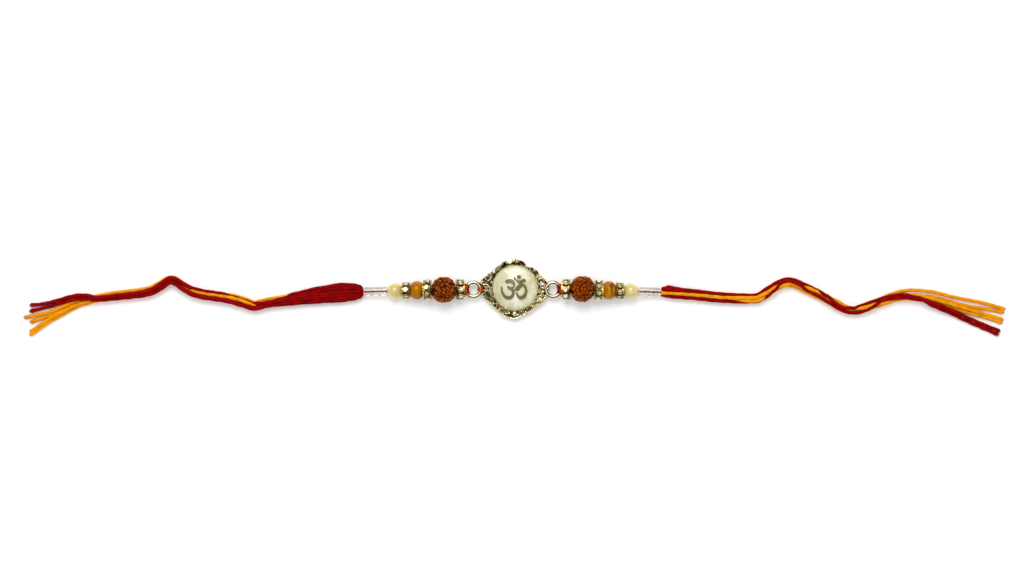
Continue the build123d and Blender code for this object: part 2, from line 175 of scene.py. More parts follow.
def twisted(parts, line, radius_at, plies, pitch, around, phase=0.0):
    """Adds a tube of twisted plies along the line to parts, which holds vertices, faces and places.
    The radius, by share of the line and run along it, and the pitch are in mm"""
    vertices, faces, uvs = parts
    groove, roughness = 0.24, 0.05
    cap_rows, tip_lift = ((0.82, 0.16), (0.45, 0.28)), 0.3
    first = len(vertices)
    last = len(line) - 1
    run = 0.0
    directions = frames_along(line)
    for index, (point, (_, side, other)) in enumerate(zip(line, directions)):
        if index:
            run += (point - line[index - 1]).length / mm
        radius = radius_at(index / last, run)
        for step in range(around):
            angle = full_turn * step / around
            lobe = abs(math.cos(plies * (angle - phase) / 2 - math.pi * run / pitch))
            uneven = noise.noise(Vector((run * 0.9, angle * 0.6, phase * 9)))
            reach = radius * (1 - groove + groove * lobe ** 0.7 + roughness * uneven) * mm
            vertices.append(point + spoke(side, other, angle) * reach)
            uvs.append((run, step / around))
    faces.extend(quads(first, len(line), around))
    for ring, outward in ((0, -1), (last, 1)):
        centre = line[ring]
        ahead = directions[ring][0] * outward
        radius = radius_at(ring / last, run)
        place = run if ring else 0
        base = first + ring * around
        rim = base
        for share, lift in cap_rows:
            inner = len(vertices)
            for step in range(around):
                spread = vertices[base + step] - centre
                vertices.append(centre + spread * share + ahead * (radius * lift * mm))
                uvs.append((place, step / around))
            for step in range(around):
                after = (step + 1) % around
                faces.append((rim + step, rim + after, inner + after, inner + step)[::outward])
            rim = inner
        tip = len(vertices)
        vertices.append(centre + ahead * (radius * tip_lift * mm))
        uvs.append((place, 0.5))
        for step in range(around):
            faces.append((rim + step, rim + (step + 1) % around, tip)[::outward])


# Materials
def full_colour(value):
    """Linear colour of a grey share or of red, green and blue from 0 to 255. All else stays as it is"""
    if isinstance(value, (int, float)):
        return (value, value, value, 1)
    if not isinstance(value, tuple) or len(value) != 3:
        return value
    shares = [part / 255 for part in value]
    return (*(part / 12.92 if part <= 0.04045 else ((part + 0.055) / 1.055) ** 2.4 for part in shares), 1)


class Nodes:
    """A node tree and short ways to add to it"""

    def __init__(self, tree):
        self.tree = tree

    def set(self, node, key, value):
        """Gives an input a value, or links it to another node's output"""
        socket = node.inputs[key]
        if isinstance(value, bpy.types.NodeSocket):
            self.tree.links.new(value, socket)
        else:
            socket.default_value = value

    def node(self, kind, settings, inputs):
        node = self.tree.nodes.new(kind)
        for key, value in settings.items():
            setattr(node, key, value)
        for key, value in inputs.items():
            self.set(node, key, value)
        return node

    def split(self, vector):
        return self.node("ShaderNodeSeparateXYZ", {}, {"Vector": vector}).outputs

    def maths(self, operation, first, second=0.0, clamp=False):
        settings = {"operation": operation, "use_clamp": clamp}
        return self.node("ShaderNodeMath", settings, {0: first, 1: second}).outputs["Value"]

    def mix(self, factor, first, second, blend="MIX"):
        settings = {"data_type": "RGBA", "blend_type": blend}
        inputs = {0: factor, 6: full_colour(first), 7: full_colour(second)}
        return self.node("ShaderNodeMix", settings, inputs).outputs[2]

    def ramp(self, factor, stops):
        node = self.node("ShaderNodeValToRGB", {}, {"Fac": factor})
        elements = node.color_ramp.elements
        while len(elements) < len(stops):
            elements.new(0.5)
        for element, (place, colour) in zip(elements, stops):
            element.position = place
            element.color = full_colour(colour)
        return node.outputs["Color"]


class Look(Nodes):
    """A material with its one shader"""

    def __init__(self, name):
        self.material = bpy.data.materials.new(name)
        self.material.use_nodes = True
        super().__init__(self.material.node_tree)
        self.shader = self.tree.nodes["Principled BSDF"]

    def shade(self, **inputs):
        for key, value in inputs.items():
            self.set(self.shader, key.replace("_", " "), value)

    def place(self):
        return self.node("ShaderNodeTexCoord", {}, {}).outputs["Object"]

    def stored(self, label):
        """A value stored for each vertex"""
        return self.node("ShaderNodeAttribute", {"attribute_name": label}, {}).outputs["Fac"]

    def noise(self, scale, detail, roughness=0.5, vector=None, distortion=0.0):
        return self.node("ShaderNodeTexNoise", {}, {
            "Scale": scale, "Detail": detail, "Roughness": roughness, "Distortion": distortion,
            "Vector": vector or self.place(),
        }).outputs["Fac"]

    def cells(self, scale, feature, vector=None):
        inputs = {"Scale": scale, "Vector": vector or self.place()}
        return self.node("ShaderNodeTexVoronoi", {"feature": feature}, inputs).outputs

    def near(self, point, reach):
        """Distance of the surface from a point, as a share of the reach"""
        node = self.node("ShaderNodeVectorMath", {"operation": "DISTANCE"}, {0: self.place(), 1: point})
        return self.maths("DIVIDE", node.outputs["Value"], reach)

    def speckled(self, value, amount, grain):
        """A value that a grain makes uneven"""
        return self.maths("ADD", value, self.maths("MULTIPLY", self.maths("SUBTRACT", grain, 0.5), amount))

    def bump(self, height, strength, distance):
        inputs = {"Strength": strength, "Distance": distance, "Height": height}
        self.set(self.shader, "Normal", self.node("ShaderNodeBump", {}, inputs).outputs["Normal"])


def dress(target, look):
    """Gives every material slot of an object this look"""
    piece = bpy.data.objects[target] if isinstance(target, str) else target
    materials = piece.data.materials
    if len(materials) == 0:
        materials.append(look.material)
    for index in range(len(materials)):
        materials[index] = look.material


def yarn_look(name, dark, middle, light, lean_rate=0.294, across=26.0):
    """Spun cotton: fibres that lean with the twist, loose hairs and uneven dye"""
    look = Look(name)
    uv = look.split(look.node("ShaderNodeUVMap", {"uv_map": "along"}, {}).outputs["UV"])
    lean = look.maths("SUBTRACT", uv["Y"], look.maths("MULTIPLY", uv["X"], lean_rate))
    fibre_place = look.node("ShaderNodeCombineXYZ", {}, {
        "X": look.maths("MULTIPLY", uv["X"], 0.6), "Y": look.maths("MULTIPLY", lean, across),
    })
    fibres = look.noise(1.6, 4, 0.6, fibre_place.outputs["Vector"])
    tone = look.mix(0.35, fibres, look.noise(420, 2))
    look.shade(
        Base_Color=look.ramp(tone, [(0.30, dark), (0.5, middle), (0.72, light)]),
        Roughness=look.ramp(fibres, [(0.3, 0.95), (0.7, 0.72)]),
        Sheen_Weight=0.08, Sheen_Roughness=0.5, Sheen_Tint=full_colour(middle), Specular_IOR_Level=0.06,
    )
    look.bump(fibres, 0.75, 0.00012)
    return look


def grained_look(name, scale, detail, colours, roughness, bump, **inputs):
    """A look whose colour, roughness and bump follow one grain"""
    look = Look(name)
    grain = look.noise(scale, detail)
    places = (0.3, 0.7)
    look.shade(
        Base_Color=look.ramp(grain, list(zip(places, colours))),
        Roughness=look.ramp(grain, list(zip(places, roughness))), **inputs,
    )
    look.bump(grain, *bump)
    return look


yarn_looks = {
    "red": yarn_look("red_yarn", (78, 0, 1), (134, 0, 2), (176, 5, 7)),
    "yellow": yarn_look("yellow_yarn", (186, 98, 0), (230, 148, 6), (246, 176, 34)),
}
floss_look = yarn_look("red_floss", (78, 0, 1), (134, 0, 2), (180, 5, 7), 0.004, 130.0)
orange_look = yarn_look("orange_thread", (150, 48, 2), (200, 78, 8), (222, 112, 30))

# Routes of the tails in metres: the head's stations, then the compact bundle
spine_routes = {"left": [
    (-0.04383, -0.0011, 0.00142), (-0.0496, -0.00116, 0.00142), (-0.0565, -0.00195, 0.00142),
    (-0.0635, -0.0029, 0.00142), (-0.0706, -0.004, 0.00142), (-0.074, -0.00485, 0.00142),
    (-0.0754, -0.0053, 0.00142), (-0.0769, -0.00485, 0.00142), (-0.0832, -0.00285, 0.00142),
    (-0.0933, -0.00165, 0.00142), (-0.0976, 0.0016, 0.00142), (-0.0997, 0.0027, 0.00142),
    (-0.1018, 0.0014, 0.00142), (-0.1055, -0.001, 0.00142), (-0.113, -0.00195, 0.00142),
    (-0.1203, -0.0026, 0.00142),
], "right": [
    (0.04241, -0.00125, 0.00142), (0.0452, -0.0014, 0.00142), (0.0495, -0.00175, 0.00142),
    (0.054, -0.0021, 0.00142), (0.0588, -0.00265, 0.00142), (0.064, -0.0029, 0.00142),
    (0.0682, -0.003, 0.00142), (0.0703, -0.003, 0.00142), (0.0722, -0.0018, 0.00142),
    (0.0744, -0.0003, 0.00142), (0.0791, 0.00225, 0.00142), (0.084, 0.0001, 0.00142),
    (0.09, -0.00275, 0.00142), (0.0973, -0.0072, 0.00142), (0.104, -0.00475, 0.00142),
    (0.1126, -0.00175, 0.00142), (0.117, -0.00255, 0.00142),
]}

# Radius of the yarns in mm by distance from the middle of the pendant
radius_rows = {
    "left": {
        "red": [(43.8, 0.5), (70, 0.62), (90, 0.68), (104, 0.68), (112, 0.62), (118, 0.58), (142, 0.56)],
        "red_end_2": [
            (43.8, 0.5), (70, 0.62), (80, 0.74), (92, 0.76), (104, 0.7), (112, 0.62), (118, 0.58),
            (142, 0.56),
        ],
        "yellow": [(43.8, 0.5), (118, 0.54), (142, 0.55)],
    },
    "right": {
        "red": [(42.4, 0.5), (45, 0.7), (52, 0.62), (70, 0.52), (100, 0.54), (120, 0.55), (142, 0.54)],
        "yellow": [(42.4, 0.5), (70, 0.54), (118, 0.54), (142, 0.54)],
    },
}

yarn_starts = {"left": 0.0445, "right": 0.0424}
yarn_step = 0.15 * mm
lead_length = 1.0 * mm
plies, ply_pitch, yarn_sides = 3, 3.4, 20
swell_share = 0.07
flare_share, flare_run = 0.22, 2.2
spines = {side: evenly(nurbs_line(route), yarn_step) for side, route in spine_routes.items()}
yarn_lines = {}


def lay_yarn(side, name, loose, rows):
    """Makes a yarn from its length in metres, the control points in metres of its loose end after the
    bundle's own end, and rows of its place in the bundle: distance from the middle of the pendant in mm,
    turn in degrees with 0 towards +Y and 90 upwards, and distance from the bundle's middle in mm"""
    line = []
    for point, (tangent, _, _) in zip(spines[side], frames_along(spines[side])):
        place = point.x * sides[side]
        if place >= yarn_starts[side]:
            turn, reach = keyed(rows, place / mm)
            line.append(point + spoke(sideways(tangent), up, math.radians(turn)) * (reach * mm))
    lead = line[-1] + (line[-1] - line[-8]).normalized() * lead_length
    line = evenly(line[:-1] + nurbs_line([tuple(line[-1]), tuple(lead)] + loose), yarn_step)
    colour = name.split("_")[0]
    radii = radius_rows[side].get(name, radius_rows[side][colour])
    twist = chance.uniform(0, 6)
    swell = chance.uniform(0, 90)
    long = sum((b - a).length for a, b in zip(line, line[1:])) / mm

    def yarn_radius(share, run):
        """Radius of this yarn, a little uneven and wider at its cut end"""
        place = line[round(share * (len(line) - 1))].x * sides[side] / mm
        uneven = 1 + swell_share * noise.noise(Vector((run * 0.35, swell, 0)))
        flare = 1 + flare_share * max(0.0, (run - long + flare_run) / flare_run) ** 2
        return keyed(radii, place)[0] * uneven * flare

    parts = ([], [], [])
    twisted(parts, line, yarn_radius, plies, ply_pitch, yarn_sides, twist)
    yarn = piece_from(f"yarn_{name}_{side}", *parts)
    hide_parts(f"tail_head_{side}", f"tail_{side}", f"{name}_{side}")
    dress(yarn, yarn_looks[colour])
    yarn_lines[(side, name)] = line


lay_yarn("left", "red_end_1", [
    (-0.1235, -0.0022, 0.0027), (-0.1262, -0.002, 0.0026), (-0.129, -0.0025, 0.0021),
    (-0.1319, -0.0034, 0.0014), (-0.1349, -0.0042, 0.0009), (-0.1372, -0.0047, 0.00066),
    (-0.1404, -0.005, 0.00062),
], [
    (43.8, 75, 0.5), (62, 80, 0.8), (68, 92, 0.95), (72.5, 84, 0.95), (75.5, 34, 0.8), (78, 20, 0.7),
    (82, 20, 0.8), (85, 24, 1.08), (93, 24, 1.08), (96, 48, 1.06), (99.5, 60, 0.98), (104, 76, 0.98),
    (112, 92, 0.95), (120.3, 95, 0.98),
])
lay_yarn("left", "red_end_2", [
    (-0.1232, -0.0032, 0.0026), (-0.1262, -0.0031, 0.0024), (-0.129, -0.0035, 0.0018),
    (-0.1319, -0.0045, 0.0011), (-0.1349, -0.0053, 0.0007), (-0.1372, -0.0059, 0.00062),
    (-0.1404, -0.0067, 0.00062),
], [
    (43.8, 150, 0.5), (62, 155, 0.85), (68, 158, 0.95), (76, 146, 1), (84, 140, 1), (96, 138, 0.98),
    (100, 140, 0.95), (106, 158, 0.95), (112, 165, 0.95), (120.3, 160, 0.98),
])
lay_yarn("left", "yellow_end_1", [
    (-0.1228, -0.0028, 0.0015), (-0.1262, -0.0034, 0.0013), (-0.129, -0.0045, 0.0012),
    (-0.1319, -0.0058, 0.0011), (-0.1349, -0.007, 0.001), (-0.138, -0.0078, 0.0008),
    (-0.1421, -0.0085, 0.00062),
], [
    (43.8, 20, 0.5), (62, 20, 0.5), (68, 30, 0.4), (72, 42, 0.42), (77, 58, 0.78), (81, 60, 0.9),
    (85, 56, 0.78), (92, 56, 0.74), (95.5, 40, 0.3), (99, 8, 0.84), (104, 15, 0.94), (112, 20, 0.98),
    (116, 24, 0.95), (118.5, 30, 0.8), (120.3, 40, 0.6),
])
lay_yarn("left", "yellow_end_2", [
    (-0.1232, -0.0033, 0.0009), (-0.1262, -0.0039, 0.0006), (-0.129, -0.0051, 0.0006),
    (-0.1319, -0.0066, 0.0006), (-0.1349, -0.0079, 0.0006), (-0.1378, -0.0089, 0.0006),
    (-0.1403, -0.0098, 0.00062),
], [
    (43.8, 0, 0), (60, 10, 0.2), (66, 14, 0.98), (71, 14, 1.02), (75, 8, 1.05), (79, -4, 1.24),
    (82.5, 0, 1.2), (85, 10, 0.8), (88, 20, 0.2), (120.3, 0, 0),
])
lay_yarn("left", "yellow_end_3", [
    (-0.1232, -0.0036, 0.0015), (-0.1262, -0.0045, 0.0015), (-0.129, -0.0057, 0.0015),
    (-0.1319, -0.0072, 0.0014), (-0.1349, -0.0088, 0.0012), (-0.1378, -0.0108, 0.0009),
    (-0.1405, -0.0126, 0.00065),
], [
    (43.8, 306, 0.6), (66, 306, 0.9), (112, 306, 0.9), (120.3, 290, 0.9),
])
lay_yarn("left", "yellow_end_4", [
    (-0.1232, -0.0042, 0.0008), (-0.1262, -0.005, 0.0006), (-0.129, -0.0063, 0.0006),
    (-0.1319, -0.008, 0.0006), (-0.1349, -0.0096, 0.0006), (-0.1378, -0.0116, 0.0006),
    (-0.1404, -0.0134, 0.00062),
], [
    (43.8, 234, 0.6), (66, 234, 0.9), (110, 232, 0.9), (117, 205, 0.95), (120.3, 200, 0.95),
])
lay_yarn("right", "yellow_end_1", [
    (0.119, -0.0009, 0.0014), (0.1218, -0.0012, 0.0012), (0.1269, -0.0026, 0.0009), (0.1322, -0.0036, 0.0007),
    (0.1359, -0.0043, 0.0007), (0.1388, -0.0051, 0.0008), (0.1418, -0.0061, 0.0007),
], [
    (42.4, 306, 0.8), (72, 306, 0.95), (78, 290, 0.84), (86, 270, 0.8), (94, 306, 0.95), (101, 304, 0.95),
    (106, 330, 0.98), (110, 356, 1.2), (113, 360, 1.5), (117, 362, 1.85),
])
lay_yarn("right", "yellow_end_2", [
    (0.119, -0.0024, 0.0008), (0.1218, -0.0027, 0.0006), (0.1269, -0.0041, 0.0006), (0.1305, -0.0051, 0.0006),
    (0.1341, -0.0057, 0.0006), (0.1377, -0.0062, 0.0006), (0.1414, -0.007, 0.00062),
], [
    (42.4, 234, 0.8), (60, 234, 0.9), (63.5, 180, 0.3), (67, 140, 0.9), (70.5, 142, 1), (73, 190, 0.6),
    (78, 204, 0.95), (86, 192, 0.95), (94, 234, 0.95), (101, 225, 0.95), (106, 200, 0.95), (117, 212, 0.95),
])
lay_yarn("right", "yellow_end_3", [
    (0.119, -0.0028, 0.0018), (0.1218, -0.0034, 0.0016), (0.1269, -0.0049, 0.0014), (0.1305, -0.0059, 0.0012),
    (0.1341, -0.0069, 0.001), (0.1377, -0.008, 0.0008), (0.1413, -0.0091, 0.00065),
], [
    (42.4, 100, 0.8), (46, 95, 0.85), (62, 92, 0.95), (66, 84, 0.98), (70.5, 80, 0.98), (75.5, 112, 0.8),
    (78, 134, 0.95), (82, 110, 0.7), (86, 64, 0.95), (90, 40, 0.8), (94, 18, 0.95), (98, 45, 0.75),
    (101, 82, 0.95), (104, 100, 0.7), (107, 132, 0.9), (111, 125, 0.6), (117, 60, 0.7),
])
lay_yarn("right", "yellow_end_4", [
    (0.119, -0.0033, 0.001), (0.1218, -0.0041, 0.0007), (0.1269, -0.0057, 0.0006), (0.1305, -0.0069, 0.0006),
    (0.1341, -0.0078, 0.0006), (0.1377, -0.0088, 0.0006), (0.1409, -0.0099, 0.00062),
], [
    (42.4, 0, 0), (101, 270, 0.05), (106, 270, 0.3), (111, 270, 0.45), (117, 270, 0.4),
])
lay_yarn("right", "red_end_1", [
    (0.119, -0.0034, 0.0028), (0.1232, -0.0051, 0.0023), (0.1269, -0.0065, 0.0018), (0.1305, -0.0082, 0.0012),
    (0.1341, -0.0098, 0.0008), (0.1377, -0.0113, 0.0006), (0.1405, -0.0124, 0.00062),
], [
    (42.4, 170, 0.8), (46, 172, 1), (61, 172, 1.1), (65.5, 176, 1.12), (69, 192, 1), (71.5, 176, 1.05),
    (74.5, 124, 1.3), (78, 66, 0.98), (82, 85, 1.25), (86, 118, 0.98), (94, 150, 0.95), (101, 155, 0.95),
    (103.5, 115, 1.25), (106.5, 78, 0.98), (111, 112, 0.98), (117, 150, 1),
])
lay_yarn("right", "red_end_2", [
    (0.119, -0.0042, 0.0024), (0.1232, -0.0061, 0.0017), (0.1269, -0.0075, 0.0011), (0.1305, -0.0093, 0.0007),
    (0.1341, -0.0109, 0.0006), (0.1377, -0.0124, 0.0006), (0.14, -0.0134, 0.00062),
], [
    (42.4, 18, 0.8), (45, 20, 1.15), (52, 18, 1), (70, 18, 0.95), (78, 0, 0.95), (86, 22, 0.98),
    (90, 55, 1.2), (94, 90, 0.98), (98, 60, 1.2), (101, 20, 0.98), (106, 25, 0.98), (111, 60, 0.98),
    (117, 105, 1.05),
])


# Fluffed red heads of the tails: distance from the pendant, half width, half height, shift towards +Y, rise
# of the middle, all in mm
head_rows = {"left": [
    (43.86, 0.4, 0.35, 0, 0), (43.98, 1.05, 0.8, 0, 0), (44.25, 1.6, 1.08, 0, 0), (44.8, 2.05, 1.28, 0, 0),
    (46.8, 2.55, 1.37, 0, 0), (50.5, 2.88, 1.38, 0, 0), (56.5, 2.55, 1.38, 0, 0),
    (63.5, 1.95, 1.37, -0.12, 0), (67.5, 1.5, 1.32, -0.3, 0), (71, 1.12, 1.2, -0.38, 0),
    (75, 0.85, 1, -0.3, 0), (79, 0.5, 0.6, -0.1, 0),
], "right": [
    (42.32, 0.25, 0.3, 0.9, 0.25), (42.45, 0.62, 0.7, 0.9, 0.25), (43.2, 0.82, 0.95, 0.95, 0.25),
    (44.3, 1.14, 1.2, 1.1, 0.2), (46.4, 1.04, 1.12, 0.9, 0.2), (49.3, 0.84, 0.95, 0.86, 0.15),
    (52.2, 0.72, 0.8, 0.92, 0.1), (55.5, 0.55, 0.6, 0.92, 0), (58.5, 0.3, 0.35, 0.9, 0),
]}
head_step = 0.16 * mm
least_reach = 0.05
bare_rings, line_spacing = 6, 10


def floss_head(side, strand_count, groove, around):
    """A fluffed bunch of red strands round the start of a tail; gives back lines along its surface"""
    sign = sides[side]
    rows = head_rows[side]
    widest = max(row[1] for row in rows)
    spine = evenly(nurbs_line(spine_routes[side]), head_step)
    strands = [
        (full_turn * (index + chance.uniform(-0.3, 0.3)) / strand_count,
         chance.uniform(2.5, 4.4) / strand_count, chance.uniform(0, 50))
        for index in range(strand_count)
    ]
    vertices = []
    uvs = []
    for point, (tangent, _, _) in zip(spine, frames_along(spine)):
        place = point.x * sign / mm
        if place < rows[0][0] or place > rows[-1][0]:
            continue
        half_width, half_height, shift, rise = keyed(rows, place)
        across = sideways(tangent)
        for step in range(around):
            angle = full_turn * step / around
            cosine, sine = math.cos(angle), math.sin(angle)
            ridge = 0.0
            for turn, wide, seed in strands:
                wander = turn + 0.3 * noise.noise(Vector((place * 0.09, seed, 0)))
                gap = (angle - wander + math.pi) % full_turn - math.pi
                if abs(gap) < wide:
                    ridge = max(ridge, math.sqrt(1 - (gap / wide) ** 2))
            fine = noise.noise(Vector((place * 0.25, cosine * 9, sine * 9)))
            inset = (groove * (1 - ridge) + 0.07 * fine) * min(1.0, half_width / widest * 1.8)
            flat_x = math.copysign(abs(cosine) ** 0.8, cosine)
            flat_z = math.copysign(abs(sine) ** 0.85, sine)
            reach_x = max(half_width - inset, least_reach) * flat_x + shift
            reach_z = max(half_height - inset, least_reach) * flat_z + rise
            vertices.append(point + across * (reach_x * mm) + Vector((0, 0, reach_z * mm)))
            uvs.append((place, step / around * 6))
    count = len(vertices)
    corners = quads(0, count // around, around)
    faces = [(a, d, c, b) if side == "left" else (b, c, d, a) for a, b, c, d in corners]
    faces += [range(around)[::-sign], range(count - around, count)[::sign]]
    head = piece_from(f"red_head_{side}", vertices, faces, uvs)
    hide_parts(f"tail_head_{side}")
    dress(head, floss_look)
    return [vertices[bare_rings * around + column::around] for column in range(0, around, line_spacing)]


head_lines = {"left": floss_head("left", 21, 0.48, 150), "right": floss_head("right", 9, 0.22, 80)}
hair_count, tip_hairs = 420, 80
hair_steps, hair_sides = 5, 3
hair_radius, cut_radius, hair_taper = 0.016, 0.042, 0.6
floor_gap = 0.04


def loose_fibres(name, lines, tips, look):
    """Loose hairs that stand off the yarns, and the frayed hairs of their cut ends"""
    vertices = []
    faces = []
    uvs = []
    for number in range(hair_count + tip_hairs * len(tips)):
        cut = number >= hair_count
        line = tips[(number - hair_count) // tip_hairs] if cut else chance.choice(lines)
        inside = 0.4 if any(line is tip for tip in tips) else 0.0
        start = line[-1] if cut else line[chance.randrange(3, len(line) - 3)]
        ahead = (line[-1] - line[-8]).normalized() if cut else (line[3] - line[0]).normalized()
        out = Vector((chance.gauss(0, 1), chance.gauss(0, 1), chance.gauss(0, 0.8))).normalized()
        curl = Vector((chance.gauss(0, 1), chance.gauss(0, 1), chance.gauss(0, 1))).normalized()
        reach = chance.uniform(0.15, 0.42) if cut else chance.uniform(0.45, 1.1)
        base = start + out * ((chance.uniform(0.05, 0.5) if cut else inside) * mm)
        points = []
        for step in range(hair_steps + 1):
            share = step / hair_steps
            along = ahead * (reach * 0.9 * share * mm)
            away = out * (reach * 0.35 * share * mm)
            bend = curl * (reach * 0.35 * math.sin(share * 2.6) * mm)
            point = base + along + away + bend
            point.z = max(point.z, floor_gap * mm)
            points.append(point)
        first = len(vertices)
        for step, (point, (_, one, two)) in enumerate(zip(points, frames_along(points))):
            thick = (cut_radius if cut else hair_radius) * (1 - hair_taper * step / hair_steps) * mm
            for corner in range(hair_sides):
                vertices.append(point + spoke(one, two, full_turn * corner / hair_sides) * thick)
                uvs.append((step + number * 0.37, corner / hair_sides + number * 0.61))
        faces.extend(quads(first, hair_steps + 1, hair_sides))
    dress(piece_from(name, vertices, faces, uvs), look)


for side in sides:
    for colour, look in yarn_looks.items():
        tips = [line for (at, name), line in yarn_lines.items() if at == side and name.startswith(colour)]
        lines = tips * 4 + head_lines[side] if colour == "red" else tips
        loose_fibres(f"loose_fibres_{colour}_{side}", lines, tips, look)

# Casting of the pendant, a relief over turn and reach round the stone. Lengths in mm, turns in degrees
longest_reach = 10.6
outline_rows = [
    (0, 0.951), (10, 0.921), (19, 0.855), (28, 0.784), (38, 0.773), (49, 0.746), (61, 0.694), (71, 0.751),
    (81, 0.787), (90, 0.82), (100, 0.776), (108, 0.811), (121, 0.779), (136, 0.776), (148, 0.82),
    (159, 0.896), (168, 0.97), (177, 1), (183, 0.997), (191, 0.948), (203, 0.858), (218, 0.803), (231, 0.79),
    (245, 0.836), (261, 0.847), (272, 0.866), (283, 0.795), (299, 0.795), (314, 0.765), (328, 0.828),
    (337, 0.896), (347, 0.896),
]

# Leaves: X, Y, length, width, turn, top, ribs across the leaf, hollow along its middle, tone from dark to
# bright
leaf_rows = [
    (-8.34, 2.59, 3.2, 2, 22, 2.55, 6, 0, 0.42), (-7.75, 0.62, 3.1, 0.9, -46, 2.75, 0, 0, 0.9),
    (-8.55, 0.15, 2.2, 0.8, -38, 2.45, 0, 0, 0.7), (-7.65, -1.95, 3.5, 2, -48, 2.45, 0, 0.5, 0.28),
    (-7.3, -0.7, 1.6, 0.7, -15, 2.55, 0, 0, 0.9), (-4.9, 5.75, 3.7, 1.2, 42, 2.5, 0, 0.35, 0.5),
    (-6.35, 4.35, 1.6, 1, 60, 2.4, 0, 0, 0.6), (-1.6, 7.5, 2.6, 1.15, 13, 2.6, 0, 0.3, 0.95),
    (2.25, 7.2, 2.8, 1.4, -38, 2.5, 5, 0, 0.32), (4.95, 5.45, 1.8, 1.25, -40, 2.5, 3, 0, 0.3),
    (6.35, 4.6, 2.1, 1.4, -62, 2.5, 4, 0, 0.38), (7.6, 1.8, 2.6, 1.9, -42, 2.6, 0, 0.75, 0.58),
    (7.75, -0.65, 2.4, 1.7, 12, 2.6, 0, 0.6, 0.5), (7.05, -3, 2.6, 1.5, 62, 2.5, 0, 0.5, 0.55),
    (5.75, -4.45, 2, 1.3, 50, 2.45, 0, 0.4, 0.38), (4.15, -6.1, 2.8, 1.5, 42, 2.5, 4, 0, 0.45),
    (1.95, -7.2, 2.2, 1.3, 14, 2.45, 0, 0.4, 0.38), (-2.75, -6.75, 3.2, 1.5, -24, 2.5, 0, 0.55, 0.36),
    (-4.3, -6.05, 1.5, 1.1, -60, 2.6, 0, 0, 0.85), (8.6, 0.2, 1.8, 0.8, 80, 2.5, 0, 0, 0.95),
]

# Gold tint and brightness of the metal by turn
tint_rows = [
    (0, 0.35, 1.05), (40, 0.65, 1), (75, 0.6, 0.9), (100, 0.5, 1.05), (122, 0.35, 0.76), (145, 0.35, 0.78),
    (165, 0.35, 1.02), (190, 0.35, 0.72), (225, 0.45, 0.78), (255, 0.6, 0.95), (280, 0.7, 0.76),
    (310, 0.8, 0.94), (340, 0.6, 1.12), (360, 0.35, 1.05),
]

# Grains: X, Y, radius, top, and radius of the dimple in the middle of some
grain_rows = [
    (-6.86, 1.62, 0.52, 2.7), (-9.75, 1.3, 0.42, 2.3), (-9.95, 0.45, 0.4, 2.3), (-9.8, -0.6, 0.42, 2.3),
    (-9.2, -1.5, 0.4, 2.2), (-8.75, -2.45, 0.34, 2.2), (-6.78, -3.92, 0.78, 2.55, 0.36),
    (-5.76, -5.02, 0.88, 2.6, 0.42), (-6.02, 4.6, 0.5, 2.4), (-7.05, 3.95, 0.42, 2.3), (0.46, 8, 0.72, 2.8),
    (-0.35, 7.9, 0.4, 2.4), (1.2, 7.95, 0.4, 2.4), (3.7, 6.15, 0.42, 2.4), (9.15, 0.72, 0.5, 2.5),
    (9.35, -0.55, 0.45, 2.4), (8.35, -2.15, 0.45, 2.4), (6.7, 3.2, 0.42, 2.3), (-0.1, -7.45, 0.78, 2.75),
    (0.75, -7.75, 0.42, 2.4), (-3.55, -7.35, 0.6, 2.5), (3.05, -6.95, 0.42, 2.4), (5.05, -5.3, 0.42, 2.4),
    (6.5, -3.95, 0.38, 2.3),
]

# Rim wires: points X, Y that each wire passes, then its radius, height of its middle and rope turns per mm
wire_rows = [
    ([(-10.1, -1), (-9.06, -2.73), (-7.73, -4.06), (-6.4, -5.5), (-4.83, -7.2), (-3.38, -8.05),
      (-1.93, -8.45), (-0.48, -8.95), (0.55, -8.65), (1.45, -8.25), (2.66, -7.75), (3.85, -7.25)],
     0.3, 1.55, 0),
    ([(-10.15, 1.5), (-9.4, 3), (-7.73, 4.15), (-6.04, 5.4), (-4.35, 7.05), (-2.9, 7.95), (-1, 8.2)],
     0.26, 1.75, 0),
    ([(6.4, 3.4), (7.73, 3.15), (9.1, 2.35), (9.75, 1.1), (9.35, 0.05), (9.7, -0.9), (8.95, -2.35),
      (8.1, -3.8), (6.75, -5), (5.3, -6)], 0.44, 1.8, 1.3),
    ([(6.3, 2.3), (6.9, 0.9), (8.2, 0.35)], 0.25, 2.1, 1.6),
    ([(6.55, -0.15), (6.9, -1.8), (8.2, -1.9)], 0.25, 2.1, 1.6),
    ([(6.3, -1.9), (6.35, -3.6), (7.6, -3.9)], 0.18, 2.1, 1.6),
    ([(2.9, 7.6), (3.6, 6.8), (4.6, 6.35), (5.7, 5.9), (6.7, 5.2), (7, 4.2), (6.9, 3.3)], 0.22, 1.85, 0),
    ([(-9, 3.2), (-7.9, 1.9), (-7.1, 2.6), (-6.6, 3.4)], 0.17, 2.25, 0),
    ([(-9.3, 1), (-8.5, 1.2), (-7.9, 0.6), (-7, -0.9), (-6.7, -1.5)], 0.17, 2.35, 0),
    ([(-9.1, -0.6), (-8.3, -0.7), (-7.4, -1.2), (-6.9, -2.2)], 0.15, 2.3, 0),
]


